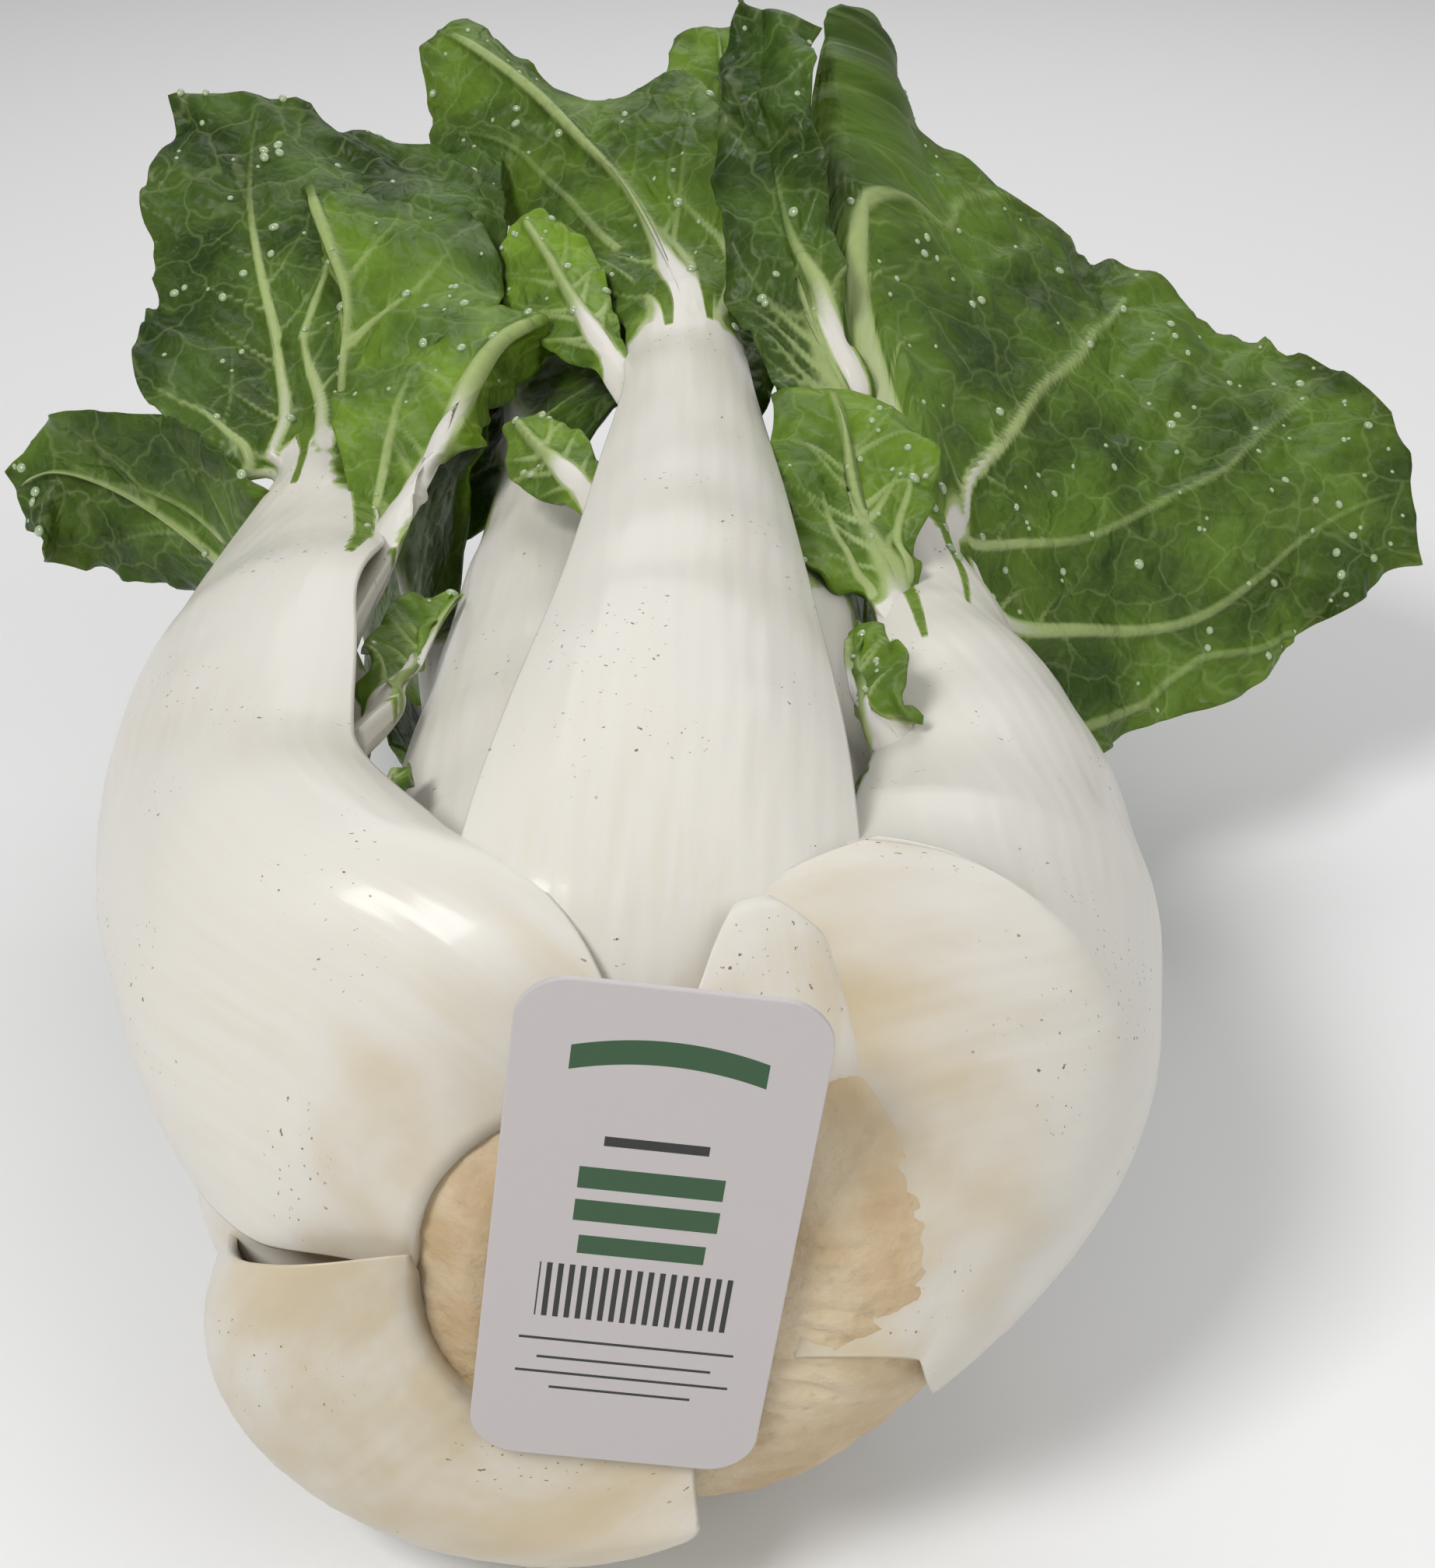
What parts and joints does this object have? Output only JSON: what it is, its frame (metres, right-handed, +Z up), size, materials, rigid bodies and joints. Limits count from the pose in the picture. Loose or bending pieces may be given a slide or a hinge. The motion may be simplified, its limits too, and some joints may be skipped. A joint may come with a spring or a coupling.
{
  "type": "bok choy",
  "caption": "Head of bok choy lying on its side, with thick white stalks bulging round the cut butt, dark green ribbed leaves and a blank-labelled card tag.",
  "frame": {"origin": "middle of the bounding box in plan, on the surface that the head lies on", "axes": "+Y from the cut butt to the leaf tips, +X to the big flat leaf's side, +Z up"},
  "size_m": [0.281, 0.2964, 0.1701],
  "materials": {
    "stalk": "moist waxy plant stalk, creamy white",
    "butt": "dry cut stem, tan",
    "leaf": "dark green leaf, slightly glossy and quilted",
    "young_leaf": "bright green young leaf, slightly glossy",
    "card": "coated card, pale grey lilac"
  },
  "bodies": {
    "root": {"butt": "butt", "tag": "card", "stalk_trimmed": "stalk", "stalk_left": "stalk", "stalk_right": "stalk", "stalk_lower_left": "stalk", "stalk_lower_right": "stalk", "stalk_side_left": "stalk", "stalk_centre": "stalk", "stalk_inner_left": "stalk", "stalk_inner_right": "stalk", "stalk_heart_top": "stalk", "stalk_back_low": "stalk", "stalk_heart_left": "stalk", "stalk_heart_right": "stalk", "blade_left": "leaf", "blade_right": "leaf", "blade_lower_left": "leaf", "blade_lower_right": "leaf", "blade_side_left": "leaf", "blade_centre": "leaf", "blade_inner_left": "leaf", "blade_inner_right": "leaf", "blade_heart_top": "young_leaf", "blade_back_low": "leaf", "blade_heart_left": "leaf", "blade_heart_right": "leaf", "blade_mid_left": "leaf", "blade_fold_left": "young_leaf", "blade_ear_left": "young_leaf", "blade_front_right": "young_leaf", "blade_ear_right": "young_leaf", "blade_ear_centre": "young_leaf", "blade_side_centre": "young_leaf", "blade_sprout_left": "young_leaf", "blade_sprout_right": "young_leaf"}
  },
  "joints": []
}
